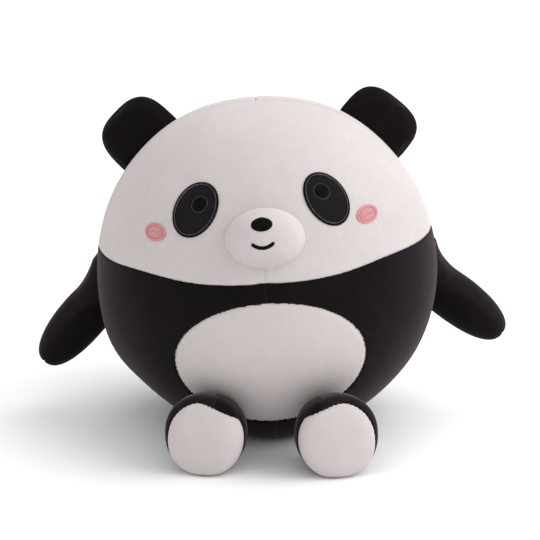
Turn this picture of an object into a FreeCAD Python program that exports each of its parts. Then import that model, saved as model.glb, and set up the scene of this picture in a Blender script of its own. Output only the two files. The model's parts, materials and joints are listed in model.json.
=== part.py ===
import FreeCAD, Part
import Sketcher
import math
import os

from FreeCAD import Placement, Rotation, Vector

# Plush panda: a stuffed ball for head and body, with sewn ears, arms and feet.
#
# The frame: +Z up, the face looks along -Y, and the origin is on the floor under the middle of the
# toy's outline. Everything is in millimetres. "left" and "right" are the sides of a person who
# stands in front of the toy, so left is -X.
#
# The soft parts are the shapes that the sewn pieces take when they are stuffed. A fabric panel is
# a thin shell, its stuffing is the closed solid under it, and embroidery is a thin raised layer.

# ---------------------------------------------------------------- driving dimensions

SIZES = {
    # the ball
    "ball_radius": 130.0,
    "seat_sink": 9.0,  # how far the ball's underside is pressed flat
    "ball_lean": 4.0,  # the ball sits rolled a little to the left
    "ball_shift": 2.6,  # and its middle lies this far left of the feet's
    "waist_rise": 22.0,  # the black and white seam, above the ball's middle
    # fabric, thread and the small gaps between layers
    "fabric_thickness": 1.2,
    "layer_gap": 0.1,
    "thread_height": 0.8,
    "limb_gap": 0.5,  # between the ball and what moves on it
    # white patch on the belly
    "belly_elevation": -21.9,
    "belly_half_width": 69.5,
    "belly_half_height": 54.9,
    # muzzle
    "muzzle_elevation": 23.1,
    "muzzle_sink": 4.0,  # its middle lies this far under the ball's surface
    "muzzle_half_width": 29.0,
    "muzzle_half_height": 22.2,
    "muzzle_depth": 26.0,
    "nose_rise": 6.5,
    "nose_half_width": 7.4,
    "nose_half_height": 4.7,
    "mouth_radius": 12.0,
    "mouth_rise": 0.5,  # centre of the smile's arc, above the muzzle's middle
    "mouth_line": 2.2,
    "mouth_angle": 88.0,  # of arc that the smile covers
    # eyes
    "eye_azimuth": 25.4,
    "eye_elevation": 33.0,
    "eye_lean": 12.6,
    "eye_half_height": 21.3,
    "eye_half_width": 17.0,
    "eye_border": 1.7,
    "pupil_azimuth": 24.2,
    "pupil_elevation": 35.1,
    "pupil_radius": 5.8,
    # cheeks
    "blush_azimuth": 40.4,
    "blush_elevation": 25.1,
    "blush_tilt": 9.0,
    "blush_half_width": 11.0,
    "blush_half_height": 7.0,
    # ears
    "ear_azimuth": 107.1,  # from the front, round towards the back
    "ear_elevation": 47.7,
    "ear_half_width": 28.3,
    "ear_height": 26.8,  # from the hinge line to the rim
    "ear_half_thickness": 9.0,
    # arms
    "arm_azimuth": 99.9,
    "arm_elevation": -14.9,
    "arm_droop": 43.0,  # below the horizontal
    "arm_length": 37.0,  # from the middle of the root to the middle of the tip
    "arm_root_radius": 18.5,
    "arm_tip_radius": 13.5,
    # feet
    "foot_spacing": 93.0,  # between the middles of the two feet
    "foot_radius": 29.0,
    "foot_half_width": 30.0,
    "foot_splay": 12.0,
    "foot_tilt": 8.0,
    "sole_offset": 12.0,  # from the foot's middle to the flat sole
    # side of the blocks that cut panels from a shell: larger than the whole toy
    "block": 600.0,
}

doc = FreeCAD.newDocument("plush_panda")
sheet = doc.addObject("Spreadsheet::Sheet", "Sizes")
for row, (alias, number) in enumerate(SIZES.items(), start=1):
    sheet.set(f"A{row}", alias)
    sheet.set(f"B{row}", str(number))
    sheet.setAlias(f"B{row}", alias)
doc.recompute()


def size(alias):
    """The number that the sheet holds under this alias."""
    return float(sheet.get(alias))


LEFT = -1
RIGHT = 1
SIDES = (("left", LEFT), ("right", RIGHT))
UP = Vector(0, 0, 1)
nodes = []

# ---------------------------------------------------------------- small makers


def make(kind, name, placement=None, **expressions):
    """A document object whose properties are bound to expressions on the sheet."""
    thing = doc.addObject(kind, name)
    if placement is not None:
        thing.Placement = placement
    for attribute, expression in expressions.items():
        thing.setExpression(attribute, expression)
    return thing


def boolean(kind, name, base, tool):
    """A cut or a common of two objects."""
    result = doc.addObject(kind, name)
    result.Base = base
    result.Tool = tool
    return result


def cut(name, base, tool):
    return boolean("Part::Cut", name, base, tool)


def common(name, base, tool):
    return boolean("Part::Common", name, base, tool)


def node(thing, label):
    """Name a finished sub-part. Its label is its node's name and its file's."""
    thing.Label = label
    nodes.append(thing)


def doc_value(expression):
    """The value of an expression on the sheet."""
    found = sheet.evalExpression(expression)
    return float(getattr(found, "Value", found))


def block(name, placement, x_from, y_from, z_from):
    """A cutting block. Each start is an expression, in the placement's own axes."""
    cutter = doc.addObject("Part::Box", name)
    for side in ("Length", "Width", "Height"):
        cutter.setExpression(side, "Sizes.block")
    starts = [doc_value(expression) for expression in (x_from, y_from, z_from)]
    cutter.Placement = placement.multiply(Placement(Vector(*starts), Rotation()))
    return cutter


# ---------------------------------------------------------------- places

sole_drop = math.sqrt(1 - (size("sole_offset") / size("foot_radius")) ** 2)
splay = math.radians(size("foot_splay"))
tilt = math.radians(size("foot_tilt"))
ball_height = size("ball_radius") - size("seat_sink")

# the feet stand on the floor, just clear of the ball
foot_clear = size("ball_radius") + size("limb_gap") + max(size("foot_radius"), size("foot_half_width"))
foot_below = ball_height - size("foot_radius")
foot_x = size("foot_spacing") / 2
nearer_foot_x = foot_x - size("ball_shift")
foot_forward = math.sqrt(foot_clear**2 - foot_below**2 - nearer_foot_x**2)

# the furthest point of a sole is on its lower inner rim
sole_lead = math.hypot(
    size("foot_half_width") * sole_drop * math.sin(splay),
    size("foot_radius") * sole_drop * math.sin(tilt) * math.cos(splay),
)
sole_reach = size("sole_offset") * math.cos(tilt) * math.cos(splay) + sole_lead
front_reach = foot_forward + sole_reach

# everything on the ball turns with it, about the line from front to back
ball_turned = Rotation(Vector(0, 1, 0), -size("ball_lean"))


def direction(azimuth, elevation, side=RIGHT):
    """A unit vector from the ball's middle. Azimuth 0 is the front and 90 is that side."""
    around = math.radians(azimuth)
    rise = math.radians(elevation)
    upright = Vector(
        side * math.cos(rise) * math.sin(around),
        -math.cos(rise) * math.cos(around),
        math.sin(rise),
    )
    return ball_turned.multVec(upright)


arm_distance = size("ball_radius") + size("limb_gap") + size("arm_root_radius")


def arm_direction(side):
    """The way an arm points: outwards and down."""
    droop = math.radians(size("arm_droop"))
    return ball_turned.multVec(Vector(side * math.cos(droop), 0, -math.sin(droop)))


def arm_reach(side):
    """How far an arm's tip lies to its own side of the ball's middle."""
    root = direction(size("arm_azimuth"), size("arm_elevation"), side) * arm_distance
    tip = root + arm_direction(side) * size("arm_length")
    return side * tip.x + size("arm_tip_radius")


# the origin is in the middle between the arms' tips, and between the soles and the ball's back
ball_middle = Vector(
    (arm_reach(LEFT) - arm_reach(RIGHT)) / 2,
    (front_reach - size("ball_radius")) / 2,
    ball_height,
)
ball_frame = Placement(ball_middle, ball_turned)


def outward_frame(azimuth, elevation, side=RIGHT, turn=0.0):
    """A placement at the ball's middle: local Z points outwards there and local Y up the ball."""
    outward = direction(azimuth, elevation, side)
    across = ball_turned.multVec(UP).cross(outward)
    across.normalize()
    rotation = Rotation(across, outward.cross(across), outward, "ZYX")
    return Placement(ball_middle, rotation.multiply(Rotation(Vector(0, 0, 1), side * turn)))


# ---------------------------------------------------------------- the ball

# the spheres' own seam and poles are turned away from the edges of the panels
ball_turn = Placement(ball_middle, Rotation(45.0, 90.0, 0.0))
ball_skin_outer = make("Part::Sphere", "ball_skin_outer", ball_turn, Radius="Sizes.ball_radius")
ball_skin_inner = make(
    "Part::Sphere", "ball_skin_inner", ball_turn, Radius="Sizes.ball_radius - Sizes.fabric_thickness"
)
ball_fill_outer = make(
    "Part::Sphere",
    "ball_fill_outer",
    ball_turn,
    Radius="Sizes.ball_radius - Sizes.fabric_thickness - Sizes.layer_gap",
)
ball_shell = cut("ball_shell", ball_skin_outer, ball_skin_inner)

floor_frame = Placement(Vector(ball_middle.x, ball_middle.y, 0), Rotation())
seam_half = "0.5 * Sizes.layer_gap"
half_block = "-0.5 * Sizes.block"
full_block = "-1 * Sizes.block"
base_top = "Sizes.fabric_thickness"
fill_floor = "Sizes.fabric_thickness + Sizes.layer_gap"
waist = "Sizes.waist_rise"

belly_frame = outward_frame(0, size("belly_elevation"))


def oval_prism(name, frame, half_width, half_height, lift="0"):
    """An oval column along the frame's Z, from the ball's middle outwards.

    The halves and the lift up the frame's Y are expressions. Turned a quarter when it is tall.
    """
    wide = doc_value(half_width) >= doc_value(half_height)
    oval = doc.addObject("Part::Ellipse", name + "_oval")
    oval.setExpression("MajorRadius", half_width if wide else half_height)
    oval.setExpression("MinorRadius", half_height if wide else half_width)
    quarter = Rotation(Vector(0, 0, 1), 0 if wide else 90)
    oval.Placement = frame.multiply(Placement(Vector(0, doc_value(lift), 0), quarter))
    column = doc.addObject("Part::Extrusion", name)
    column.Base = oval
    column.DirMode = "Custom"
    column.Dir = frame.Rotation.multVec(Vector(0, 0, 1))
    column.setExpression("LengthFwd", "Sizes.ball_radius + Sizes.muzzle_depth + 10 * Sizes.thread_height")
    column.Solid = True
    return column


belly_column = oval_prism("belly_column", belly_frame, "Sizes.belly_half_width", "Sizes.belly_half_height")
belly_opening = oval_prism(
    "belly_opening",
    belly_frame,
    "Sizes.belly_half_width + Sizes.layer_gap",
    "Sizes.belly_half_height + Sizes.layer_gap",
)

above_waist = block("above_waist", ball_frame, half_block, half_block, f"{waist} + {seam_half}")
under_waist = f"{waist} - {seam_half} + {full_block}"
below_waist = block("below_waist", ball_frame, half_block, half_block, under_waist)
above_base = block("above_base", floor_frame, half_block, half_block, fill_floor)
under_base = block("under_base", floor_frame, half_block, half_block, f"{base_top} + {full_block}")
above_floor = block("above_floor", floor_frame, half_block, half_block, "0")

head_shell = common("head_shell", ball_shell, above_waist)
lower_shell = common("lower_shell", ball_shell, below_waist)
body_shell = common("body_shell", lower_shell, above_base)
front_shell = cut("front_shell", body_shell, belly_opening)

# the face is one panel with a dart under the muzzle; the other panels come in pairs
before_middle = f"{full_block} - {seam_half}"
front_half = block("front_half", ball_frame, half_block, before_middle, half_block)
node(common("head_front_panel", head_shell, front_half), "head_front")
for depth, y_start in (("front", before_middle), ("back", seam_half)):
    for hand, side in SIDES:
        x_start = seam_half if side == RIGHT else before_middle
        quarter = block(f"quarter_{depth}_{hand}", ball_frame, x_start, y_start, half_block)
        body_source = front_shell if depth == "front" else body_shell
        node(common(f"body_{depth}_{hand}_panel", body_source, quarter), f"body_{depth}_{hand}")
        if depth == "back":
            node(common(f"head_back_{hand}_panel", head_shell, quarter), f"head_back_{hand}")

node(common("belly_patch_panel", ball_shell, belly_column), "belly_patch")

ball_on_floor = common("ball_on_floor", ball_skin_outer, above_floor)
node(common("base_panel_disc", ball_on_floor, under_base), "base_panel")
node(common("core_fill", ball_fill_outer, above_base), "core_stuffing")

# ---------------------------------------------------------------- raised layers on the ball


def ball_layer(name, lift):
    """A shell of thread or fabric on the ball. The lift of its underside is an expression."""
    outer = make(
        "Part::Sphere",
        name + "_outer",
        ball_turn,
        Radius=f"Sizes.ball_radius + {lift} + Sizes.thread_height",
    )
    inner = make("Part::Sphere", name + "_inner", ball_turn, Radius=f"Sizes.ball_radius + {lift}")
    return cut(name, outer, inner)


first_layer = ball_layer("first_layer", "Sizes.layer_gap")
second_layer = ball_layer("second_layer", "Sizes.thread_height + 2 * Sizes.layer_gap")

for hand, side in SIDES:
    # an applied oval of black fabric, edged with a satin border, and a round pupil on it
    eye_frame = outward_frame(size("eye_azimuth"), size("eye_elevation"), side, size("eye_lean"))
    patch_half_width = "Sizes.eye_half_width - Sizes.eye_border"
    patch_half_height = "Sizes.eye_half_height - Sizes.eye_border"
    gap = "Sizes.layer_gap"
    patch_column = oval_prism(
        f"patch_column_{hand}", eye_frame, f"{patch_half_width} - {gap}", f"{patch_half_height} - {gap}"
    )
    border_hole = oval_prism(f"border_hole_{hand}", eye_frame, patch_half_width, patch_half_height)
    border_column = oval_prism(
        f"border_column_{hand}", eye_frame, "Sizes.eye_half_width", "Sizes.eye_half_height"
    )
    border_ring = cut(f"border_ring_{hand}", border_column, border_hole)
    node(common(f"eye_patch_{hand}_layer", first_layer, patch_column), f"eye_patch_{hand}")
    node(common(f"eye_border_{hand}_layer", first_layer, border_ring), f"eye_border_{hand}")

    pupil_frame = outward_frame(size("pupil_azimuth"), size("pupil_elevation"), side)
    pupil_column = oval_prism(
        f"pupil_column_{hand}", pupil_frame, "Sizes.pupil_radius", "Sizes.pupil_radius"
    )
    node(common(f"pupil_{hand}_layer", second_layer, pupil_column), f"pupil_{hand}")

    blush_frame = outward_frame(
        size("blush_azimuth"), size("blush_elevation"), side, size("blush_tilt")
    )
    blush_column = oval_prism(
        f"blush_column_{hand}", blush_frame, "Sizes.blush_half_width", "Sizes.blush_half_height"
    )
    node(common(f"blush_{hand}_layer", first_layer, blush_column), f"blush_{hand}")

# ---------------------------------------------------------------- muzzle

muzzle_frame = outward_frame(0, size("muzzle_elevation"))
muzzle_centre = muzzle_frame.multiply(
    Placement(Vector(0, 0, size("ball_radius") - size("muzzle_sink")), Rotation())
)


def muzzle_egg(name, growth):
    """The muzzle's ellipsoid, grown by an expression."""
    return make(
        "Part::Ellipsoid",
        name,
        muzzle_centre,
        Radius1=f"Sizes.muzzle_depth + {growth}",
        Radius2=f"Sizes.muzzle_half_width + {growth}",
        Radius3=f"Sizes.muzzle_half_height + {growth}",
    )


ball_clear = make(
    "Part::Sphere", "ball_clear", ball_turn, Radius="Sizes.ball_radius + Sizes.layer_gap"
)
muzzle_outer = muzzle_egg("muzzle_outer", "0")
muzzle_inner = muzzle_egg("muzzle_inner", "(-1) * Sizes.fabric_thickness")
muzzle_fill = muzzle_egg("muzzle_fill", "(-1) * (Sizes.fabric_thickness + Sizes.layer_gap)")
muzzle_shell = cut("muzzle_shell", muzzle_outer, muzzle_inner)
node(cut("muzzle_skin_panel", muzzle_shell, ball_clear), "muzzle_skin")
node(cut("muzzle_stuffing_fill", muzzle_fill, ball_clear), "muzzle_stuffing")

thread_outer = muzzle_egg("thread_outer", "Sizes.layer_gap + Sizes.thread_height")
thread_inner = muzzle_egg("thread_inner", "Sizes.layer_gap")
muzzle_thread = cut("muzzle_thread", thread_outer, thread_inner)
nose_column = oval_prism(
    "nose_column", muzzle_frame, "Sizes.nose_half_width", "Sizes.nose_half_height", "Sizes.nose_rise"
)
nose_base = block("nose_base", muzzle_frame, half_block, half_block, "Sizes.ball_radius")
nose_tip = common("nose_tip", nose_column, nose_base)
node(common("nose_layer", muzzle_thread, nose_tip), "nose_embroidery")

# the smile: a sector of a ring, opening upwards
smile_angle = size("mouth_angle")
smile_frame = muzzle_frame.multiply(
    Placement(
        Vector(0, size("mouth_rise"), size("ball_radius")),
        Rotation(Vector(0, 0, 1), -90 - smile_angle / 2),
    )
)
smile_outer = make(
    "Part::Cylinder",
    "smile_outer",
    smile_frame,
    Radius="Sizes.mouth_radius + 0.5 * Sizes.mouth_line",
    Height="2 * Sizes.muzzle_depth",
    Angle="Sizes.mouth_angle",
)
smile_inner = make(
    "Part::Cylinder",
    "smile_inner",
    smile_frame,
    Radius="Sizes.mouth_radius - 0.5 * Sizes.mouth_line",
    Height="2 * Sizes.muzzle_depth",
)
smile_column = cut("smile_column", smile_outer, smile_inner)
node(common("mouth_layer", muzzle_thread, smile_column), "mouth_embroidery")

# ---------------------------------------------------------------- ears


def half_egg(name, frame, height, half_width, half_depth, upper):
    """Half an ellipsoid: local Z is its height. Each size is an expression."""
    half = make(
        "Part::Ellipsoid", name, frame, Radius1=height, Radius2=half_width, Radius3=half_depth
    )
    half.Angle1 = 0 if upper else -90
    half.Angle2 = 90 if upper else 0
    return half


def ear_form(name, frame, shrink):
    """A flat round flap whose root is round about the hinge line, so that it can turn there."""
    height = f"Sizes.ear_height - {shrink}"
    half_width = f"Sizes.ear_half_width - {shrink}"
    half_thickness = f"Sizes.ear_half_thickness - {shrink}"
    flap = half_egg(name + "_flap", frame, height, half_width, half_thickness, True)
    root = half_egg(name + "_root", frame, half_thickness, half_width, half_thickness, False)
    whole = doc.addObject("Part::Fuse", name)
    whole.Base = flap
    whole.Tool = root
    return whole


ear_distance = size("ball_radius") + size("limb_gap") + size("ear_half_thickness")
ear_hinges = {}
for hand, side in SIDES:
    outward = direction(size("ear_azimuth"), size("ear_elevation"), side)
    backward = Vector(0, 1, 0) - outward * outward.y
    backward.normalize()
    ear_frame = Placement(
        ball_middle + outward * ear_distance,
        Rotation(backward.cross(outward), backward, outward, "ZYX"),
    )
    ear_hinges[hand] = (ear_frame.Base, ear_frame.Rotation.multVec(Vector(1, 0, 0)))
    outer = ear_form(f"ear_outer_{hand}", ear_frame, "0")
    inner = ear_form(f"ear_inner_{hand}", ear_frame, "Sizes.fabric_thickness")
    fill = ear_form(f"ear_fill_{hand}", ear_frame, f"({fill_floor})")
    shell = cut(f"ear_shell_{hand}", outer, inner)
    for face, y_start in (("front", f"{full_block} - {seam_half}"), ("back", seam_half)):
        half = block(f"ear_half_{face}_{hand}", ear_frame, half_block, y_start, half_block)
        node(common(f"ear_{hand}_{face}_panel", shell, half), f"ear_{hand}_{face}")
    node(fill, f"ear_{hand}_stuffing")

# ---------------------------------------------------------------- arms


def arm_form(name, frame, shrink):
    """A tapered round form, spun about its length: a ball root, a cone and a ball tip."""
    body = doc.addObject("PartDesign::Body", name)
    body.Placement = frame
    plane = [item for item in body.Origin.OriginFeatures if item.Role == "XZ_Plane"][0]
    outline = body.newObject("Sketcher::SketchObject", name + "_outline")
    outline.AttachmentSupport = [(plane, "")]
    outline.MapMode = "FlatFace"

    length = size("arm_length")
    root = doc_value(f"Sizes.arm_root_radius - {shrink}")
    tip = doc_value(f"Sizes.arm_tip_radius - {shrink}")
    slope = math.asin((root - tip) / length)
    lean = Vector(math.cos(slope), math.sin(slope), 0)
    root_side = lean * root
    tip_side = Vector(0, length, 0) + lean * tip

    normal = Vector(0, 0, 1)
    root_circle = Part.Circle(Vector(0, 0, 0), normal, root)
    tip_circle = Part.Circle(Vector(0, length, 0), normal, tip)
    root_arc = outline.addGeometry(Part.ArcOfCircle(root_circle, -math.pi / 2, slope), False)
    side_line = outline.addGeometry(Part.LineSegment(root_side, tip_side), False)
    tip_arc = outline.addGeometry(Part.ArcOfCircle(tip_circle, slope, math.pi / 2), False)
    spine = outline.addGeometry(Part.LineSegment(Vector(0, length + tip, 0), Vector(0, -root, 0)), False)

    start, end, middle = 1, 2, 3
    Constraint = Sketcher.Constraint
    outline.addConstraint(Constraint("Coincident", root_arc, middle, -1, 1))
    outline.addConstraint(Constraint("Tangent", root_arc, end, side_line, start))
    outline.addConstraint(Constraint("Tangent", side_line, end, tip_arc, start))
    outline.addConstraint(Constraint("PointOnObject", tip_arc, middle, -2))
    outline.addConstraint(Constraint("Coincident", tip_arc, end, spine, start))
    outline.addConstraint(Constraint("Coincident", root_arc, start, spine, end))
    outline.addConstraint(Constraint("PointOnObject", spine, start, -2))
    outline.addConstraint(Constraint("PointOnObject", spine, end, -2))
    reach = outline.addConstraint(Constraint("DistanceY", root_arc, middle, tip_arc, middle, length))
    root_size = outline.addConstraint(Constraint("Radius", root_arc, root))
    tip_size = outline.addConstraint(Constraint("Radius", tip_arc, tip))
    outline.setExpression(f"Constraints[{reach}]", "Sizes.arm_length")
    outline.setExpression(f"Constraints[{root_size}]", f"Sizes.arm_root_radius - {shrink}")
    outline.setExpression(f"Constraints[{tip_size}]", f"Sizes.arm_tip_radius - {shrink}")

    spin = body.newObject("PartDesign::Revolution", name + "_spin")
    spin.Profile = outline
    spin.ReferenceAxis = (outline, ["V_Axis"])
    spin.Angle = 360.0
    return body


arm_hinges = {}
for hand, side in SIDES:
    arm_axis = arm_direction(side)
    backward = Vector(0, 1, 0)
    arm_middle = ball_middle + direction(size("arm_azimuth"), size("arm_elevation"), side) * arm_distance
    arm_frame = Placement(arm_middle, Rotation(backward.cross(arm_axis), backward, arm_axis, "ZYX"))
    arm_hinges[hand] = (arm_middle, backward)
    outer = arm_form(f"arm_outer_{hand}", arm_frame, "0")
    inner = arm_form(f"arm_inner_{hand}", arm_frame, "Sizes.fabric_thickness")
    fill = arm_form(f"arm_fill_{hand}", arm_frame, f"({fill_floor})")
    shell = cut(f"arm_shell_{hand}", outer, inner)
    # the frame's X points down on the right arm and up on the left one
    for face, sign in (("upper", -side), ("lower", side)):
        x_start = seam_half if sign > 0 else f"{full_block} - {seam_half}"
        half = block(f"arm_half_{face}_{hand}", arm_frame, x_start, half_block, half_block)
        node(common(f"arm_{hand}_{face}_panel", shell, half), f"arm_{hand}_{face}")
    node(fill, f"arm_{hand}_stuffing")

# ---------------------------------------------------------------- feet


def foot_egg(name, frame, shrink):
    """A ball that is a little wide, round about the line from side to side."""
    return make(
        "Part::Ellipsoid",
        name,
        frame,
        Radius1=f"Sizes.foot_radius - {shrink}",
        Radius2=f"Sizes.foot_half_width - {shrink}",
        Radius3=f"Sizes.foot_radius - {shrink}",
    )


foot_hinges = {}
sole_face = "(-1) * Sizes.sole_offset"
sole_back = f"{sole_face} + Sizes.fabric_thickness"
upper_front = f"{sole_back} + Sizes.layer_gap"
for hand, side in SIDES:
    foot_middle = ball_middle + Vector(size("ball_shift") + side * foot_x, -foot_forward, -foot_below)
    turn_out = Rotation(Vector(0, 0, 1), side * size("foot_splay"))
    tip_up = Rotation(Vector(1, 0, 0), -size("foot_tilt"))
    foot_frame = Placement(foot_middle, turn_out.multiply(tip_up))
    foot_hinges[hand] = (foot_middle, turn_out.multVec(Vector(1, 0, 0)))
    outer = foot_egg(f"foot_outer_{hand}", foot_frame, "0")
    inner = foot_egg(f"foot_inner_{hand}", foot_frame, "Sizes.fabric_thickness")
    fill = foot_egg(f"foot_fill_{hand}", foot_frame, f"({fill_floor})")
    behind_face = block(f"behind_face_{hand}", foot_frame, half_block, sole_face, half_block)
    before_back = block(
        f"before_back_{hand}", foot_frame, half_block, f"{sole_back} + {full_block}", half_block
    )
    behind_sole = block(f"behind_sole_{hand}", foot_frame, half_block, upper_front, half_block)
    flat_foot = common(f"flat_foot_{hand}", outer, behind_face)
    node(common(f"foot_{hand}_sole_panel", flat_foot, before_back), f"foot_{hand}_sole")
    shell = cut(f"foot_shell_{hand}", outer, inner)
    upper = common(f"foot_upper_{hand}", shell, behind_sole)
    for face, sign in (("inner", -side), ("outer", side)):
        x_start = seam_half if sign > 0 else f"{full_block} - {seam_half}"
        half = block(f"foot_half_{face}_{hand}", foot_frame, x_start, half_block, half_block)
        node(common(f"foot_{hand}_upper_{face}_panel", upper, half), f"foot_{hand}_upper_{face}")
    node(common(f"foot_{hand}_fill", fill, behind_sole), f"foot_{hand}_stuffing")

# ---------------------------------------------------------------- check and write

doc.recompute()

for thing in doc.Objects:
    if "Invalid" in thing.State or "Error" in thing.State:
        raise RuntimeError(f"{thing.Name} failed to build: {thing.State}")

labels = [thing.Label for thing in nodes]
if len(set(labels)) != len(labels):
    raise RuntimeError("two nodes share a name")

for thing in nodes:
    shape = thing.Shape
    if shape.isNull() or not shape.isValid() or len(shape.Solids) != 1:
        raise RuntimeError(f"{thing.Label} is not one valid solid")

os.makedirs("parts", exist_ok=True)
for thing in nodes:
    thing.Shape.exportStep(f"parts/{thing.Label}.step")

print(f"{len(nodes)} nodes")
print("ball middle", ball_middle)
for title, hinges in (("ear", ear_hinges), ("arm", arm_hinges), ("foot", foot_hinges)):
    for hand, (point, axis) in hinges.items():
        print(f"{title}_{hand} hinge at {point} along {axis}")
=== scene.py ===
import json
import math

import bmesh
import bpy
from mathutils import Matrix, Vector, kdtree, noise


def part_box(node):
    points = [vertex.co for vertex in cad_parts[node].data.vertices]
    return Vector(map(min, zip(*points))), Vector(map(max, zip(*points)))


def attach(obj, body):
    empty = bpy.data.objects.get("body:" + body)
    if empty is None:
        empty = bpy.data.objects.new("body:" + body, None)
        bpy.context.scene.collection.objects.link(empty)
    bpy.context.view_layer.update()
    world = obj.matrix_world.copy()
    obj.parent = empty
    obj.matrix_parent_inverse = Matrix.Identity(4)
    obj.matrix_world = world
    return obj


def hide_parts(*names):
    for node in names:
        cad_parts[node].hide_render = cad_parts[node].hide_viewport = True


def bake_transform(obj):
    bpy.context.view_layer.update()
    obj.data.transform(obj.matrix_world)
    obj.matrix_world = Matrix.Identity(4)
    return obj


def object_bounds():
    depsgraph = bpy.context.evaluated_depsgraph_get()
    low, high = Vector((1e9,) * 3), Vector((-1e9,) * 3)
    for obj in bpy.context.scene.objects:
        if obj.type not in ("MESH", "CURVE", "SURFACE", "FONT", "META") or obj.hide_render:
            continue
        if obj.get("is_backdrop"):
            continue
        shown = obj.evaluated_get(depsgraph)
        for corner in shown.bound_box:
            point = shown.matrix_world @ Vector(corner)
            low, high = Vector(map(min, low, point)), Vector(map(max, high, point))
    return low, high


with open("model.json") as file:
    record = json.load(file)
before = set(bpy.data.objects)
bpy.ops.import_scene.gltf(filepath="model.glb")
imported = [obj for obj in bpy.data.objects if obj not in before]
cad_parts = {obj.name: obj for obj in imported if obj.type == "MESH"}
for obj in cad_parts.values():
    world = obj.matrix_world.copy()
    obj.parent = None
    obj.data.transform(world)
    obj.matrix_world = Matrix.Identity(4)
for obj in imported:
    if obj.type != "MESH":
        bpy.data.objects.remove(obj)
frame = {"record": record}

# %% [markdown]
# # A plush panda
#
# The toy is a stuffed ball in white and black plush, with a small stuffed muzzle, sewn ears,
# arms and feet, and a face of applied ovals and thread. The frame that was just loaded holds its
# working solids: one for each fabric panel, filling and embroidery, with the hinges of the limbs.
# Here every one of them gets the soft form and the cloth of the real piece. All lengths are in
# metres, so a small number times `MM` reads as millimetres.

MM = 0.001
cad_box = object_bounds()

FABRIC = 1.2 * MM
low, high = (Vector(corner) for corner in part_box("core_stuffing"))
BALL_RADIUS = (high.x - low.x) / 2 + FABRIC
BALL_MIDDLE = Vector(((low.x + high.x) / 2, (low.y + high.y) / 2, high.z + FABRIC - BALL_RADIUS))
print("ball radius", round(BALL_RADIUS, 4), "middle", BALL_MIDDLE)

# %% [markdown]
# The ball sits rolled a little to one side, so its face, ears and arms turn with it. The line
# through the two arm hinges says by how much. `BALL` is the matrix from the ball's own upright
# axes, with the middle of the ball at zero, to the frame.

# %% The ball's own axes
joints = {joint["name"]: joint for joint in frame["record"]["behaviour"]["joints"]}


def hinge(name):
    """The place of a joint, and the direction that it turns about."""
    return Vector(joints[name]["pos_m"]), Vector(joints[name]["axis"]).normalized()


across = hinge("arm_right_raise")[0] - hinge("arm_left_raise")[0]
lean = math.atan2(across.z, across.x)
BALL = Matrix.Translation(BALL_MIDDLE) @ Matrix.Rotation(-lean, 4, "Y")
print("the ball leans", round(math.degrees(lean), 2), "degrees")


def outward(azimuth, elevation):
    """The direction azimuth degrees to the right of the front and elevation degrees up."""
    a, e = math.radians(azimuth), math.radians(elevation)
    return Vector((math.cos(e) * math.sin(a), -math.cos(e) * math.cos(a), math.sin(e)))


def outward_frame(azimuth, elevation, turn=0.0):
    """Axes on the ball: x sideways, y up the ball and z outwards at that place."""
    out = outward(azimuth, elevation)
    side = Vector((0, 0, 1)).cross(out).normalized()
    up = out.cross(side)
    axes = Matrix((side, up, out)).transposed()
    return axes @ Matrix.Rotation(math.radians(turn), 3, "Z")


# %% [markdown]
# ## The stuffed ball
#
# Stuffing makes the ball nearly round, a little fuller below its middle, and its own weight
# presses it flat where it sits. One function gives the surface in every direction, so the
# panels, the eyes and the cheeks all lie on the same form. A list says where the filling pushes
# more or less, and slow noise gives the slight unevenness of the fibre.

# %% The ball's form
SWELL = 0.004
SWELL_LOW = 0.010
HIP_SWELL = 0.006
HIP_AT = -36.0
HIP_SPREAD = 20.0
SEAT_SOFTNESS = 6.0 * MM
SEAT_SINK = 0.4 * MM
SEAT_PRESSED = 9.0 * MM
SEAT_REACH = 40.0 * MM
LUMP_HEIGHT = 0.5 * MM
LUMP_SIZE = 45.0 * MM
# where the filling pushes more or less: azimuth, elevation, width in degrees, height
FULLNESS = [
    (-123, 62, 22, 2.3 * MM),
    (120, 62, 17, 1.8 * MM),
    (-100, 33, 15, 1.2 * MM),
    (-83, -22, 14, 3.0 * MM),
    (-75, -47, 14, -3.0 * MM),
    (72, -50, 15, -1.3 * MM),
    (100, 12, 10, -1.6 * MM),
    (0, 88, 20, -1.4 * MM),
    (0, -62, 16, 4.0 * MM),
]
FULL_PLACES = [
    (outward_frame(azimuth, elevation).col[2], 2 * (1 - math.cos(math.radians(width))), height)
    for azimuth, elevation, width, height in FULLNESS
]


def ball_point(direction, lift=0.0):
    """The place in the frame of the ball's surface in a direction of the ball's own axes."""
    d = direction.normalized()
    elevation = math.degrees(math.asin(max(-1.0, min(1.0, d.z))))
    hip = math.exp(-(((elevation - HIP_AT) / HIP_SPREAD) ** 2))
    swell = SWELL - SWELL_LOW * d.z + HIP_SWELL * hip
    lump = noise.noise(d * BALL_RADIUS / LUMP_SIZE) * LUMP_HEIGHT
    for place, spread, height in FULL_PLACES:
        lump += height * math.exp(-(d - place).length_squared / spread)
    spot = BALL @ (d * (BALL_RADIUS * (1.0 + swell) + lump + lift))
    sunk = spot.z - SEAT_SINK
    spot.z = 0.5 * (sunk + math.hypot(sunk, SEAT_SOFTNESS))
    # the soft bend leaves the seat a little high, so it settles back down on the floor
    settled = 0.5 * (math.hypot(SEAT_PRESSED, SEAT_SOFTNESS) - SEAT_PRESSED)
    spot.z -= settled * (1.0 - min(1.0, max(0.0, spot.z / SEAT_REACH)))
    return spot


print("top", ball_point(Vector((0, 0, 1))).z, "seat", ball_point(Vector((0, 0, -1))).z)

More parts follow.
